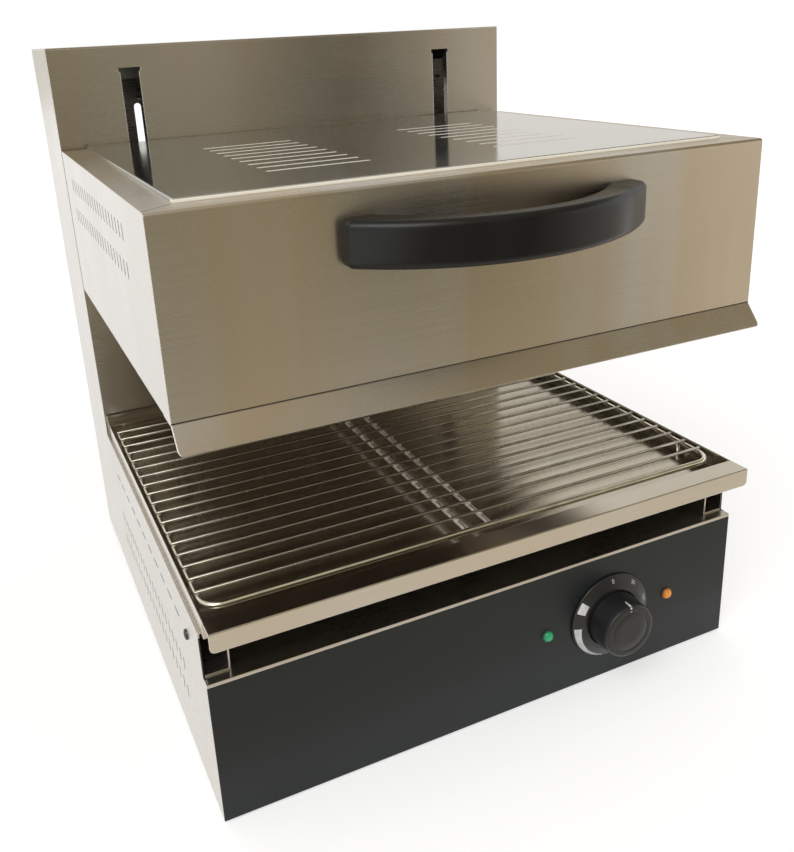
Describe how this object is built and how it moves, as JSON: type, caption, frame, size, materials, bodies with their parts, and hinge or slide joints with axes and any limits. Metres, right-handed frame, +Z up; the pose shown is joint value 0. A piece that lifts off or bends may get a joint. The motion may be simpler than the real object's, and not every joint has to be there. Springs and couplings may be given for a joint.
{
  "type": "rise and fall salamander grill",
  "caption": "Countertop salamander grill whose balanced hood of downward heating elements slides on a rear tower, above a pull-out crumb tray that holds a wire rack.",
  "frame": {"origin": "on the table under the middle of the outline's bounding box", "axes": "+Z up, the control panel and the handle face -Y, +X to the right as seen from the front"},
  "size_m": [0.4532, 0.552, 0.513],
  "materials": {
    "brushed_stainless": "satin brushed",
    "polished_stainless": "polished",
    "plated_wire": "bright plated",
    "black_panel": "gloss black",
    "handle_black": "satin black",
    "knob_black": "satin black",
    "lens_green": "translucent green",
    "lens_amber": "translucent amber",
    "galvanised": "galvanised",
    "machined_steel": "machined",
    "oiled_chain": "oiled",
    "weight_iron": "painted",
    "nylon": "smooth",
    "black_rubber": "matte",
    "wool_blanket": "fibrous",
    "heated_steel": "heat darkened",
    "ceramic": "glazed",
    "moulded_black": "moulded",
    "moulded_cream": "moulded",
    "dark_screw": "blackened",
    "bright_screw": "plain"
  },
  "bodies": {
    "root": {"base_floor": "galvanised", "side_panel_left": "brushed_stainless", "side_panel_right": "brushed_stainless", "base_deck": "brushed_stainless", "control_panel": "black_panel", "tray_runner_left": "brushed_stainless", "tray_runner_right": "brushed_stainless", "tower_front_panel": "brushed_stainless", "tower_cap": "brushed_stainless", "rear_cover": "brushed_stainless", "feet": "black_rubber", "guide_rail_left": "galvanised", "guide_rail_right": "galvanised", "rail_bridge_upper": "galvanised", "rail_bridge_lower": "galvanised", "shaft_bearings": "machined_steel", "lift_chain_left": "oiled_chain", "lift_chain_right": "oiled_chain", "travel_stops": "black_rubber", "heat_regulator": "moulded_black", "dial_ring": "knob_black", "pilot_light_green": "lens_green", "pilot_light_amber": "lens_amber", "terminal_block": "moulded_cream", "cable_gland": "moulded_black", "side_screws": "dark_screw", "rear_cover_screws": "bright_screw"},
    "hood": {"hood_shell": "brushed_stainless", "hood_cover": "brushed_stainless", "deflector_lip": "brushed_stainless", "handle": "handle_black", "handle_screws": "bright_screw", "hood_rear_panel": "brushed_stainless", "reflector": "polished_stainless", "insulation": "wool_blanket", "heating_element_front": "heated_steel", "heating_element_middle": "heated_steel", "heating_element_rear": "heated_steel", "element_brackets": "polished_stainless", "element_terminals": "ceramic", "lift_arm_left": "galvanised", "lift_arm_right": "galvanised", "carriage_plate": "galvanised", "roller_pins": "machined_steel", "chain_clamps": "machined_steel", "arm_bolts": "bright_screw"},
    "counterweight": {"counterweight": "weight_iron", "weight_clamps": "machined_steel"},
    "upper_shaft": {"upper_shaft": "machined_steel", "upper_sprockets": "machined_steel"},
    "lower_shaft": {"lower_shaft": "machined_steel", "lower_sprockets": "machined_steel"},
    "upper_rollers": {"upper_rollers": "nylon"},
    "lower_rollers": {"lower_rollers": "nylon"},
    "crumb_tray": {"crumb_tray": "polished_stainless"},
    "wire_rack": {"wire_rack": "plated_wire"},
    "knob": {"thermostat_knob": "knob_black", "knob_shaft": "machined_steel"}
  },
  "joints": [
    {"name": "hood_lift", "type": "slide", "parent": "root", "child": "hood", "axis": [0, 0, 1], "range_m": [-0.11, 0.075]},
    {"name": "weight_lift", "type": "slide", "parent": "root", "child": "counterweight", "axis": [0, 0, 1], "range_m": [-0.075, 0.11]},
    {"name": "upper_shaft_turn", "type": "hinge", "parent": "root", "child": "upper_shaft", "pos_m": [0, 0.216, 0.468], "axis": [1, 0, 0], "range_deg": [-224, 328]},
    {"name": "lower_shaft_turn", "type": "hinge", "parent": "root", "child": "lower_shaft", "pos_m": [0, 0.216, 0.152], "axis": [1, 0, 0], "range_deg": [-224, 328]},
    {"name": "upper_roller_turn", "type": "hinge", "parent": "hood", "child": "upper_rollers", "pos_m": [0, 0.18, 0.3885], "axis": [1, 0, 0], "range_deg": [-574, 392]},
    {"name": "lower_roller_turn", "type": "hinge", "parent": "hood", "child": "lower_rollers", "pos_m": [0, 0.18, 0.3515], "axis": [1, 0, 0], "range_deg": [-392, 574]},
    {"name": "tray_slide", "type": "slide", "parent": "root", "child": "crumb_tray", "axis": [0, -1, 0], "range_m": [0, 0.36]},
    {"name": "rack_lift", "type": "slide", "parent": "crumb_tray", "child": "wire_rack", "axis": [0, 0, 1], "range_m": [0, 0.02]},
    {"name": "knob_turn", "type": "hinge", "parent": "root", "child": "knob", "pos_m": [0.102, -0.221, 0.0595], "axis": [0, 1, 0], "range_deg": [0, 270]}
  ],
  "couplings": [
    {"joint": "weight_lift", "follows": "hood_lift", "ratio": -1},
    {"joint": "upper_shaft_turn", "follows": "hood_lift", "rad_per_m": -51.813},
    {"joint": "lower_shaft_turn", "follows": "hood_lift", "rad_per_m": -51.813},
    {"joint": "upper_roller_turn", "follows": "hood_lift", "rad_per_m": 90.909},
    {"joint": "lower_roller_turn", "follows": "hood_lift", "rad_per_m": -90.909}
  ]
}
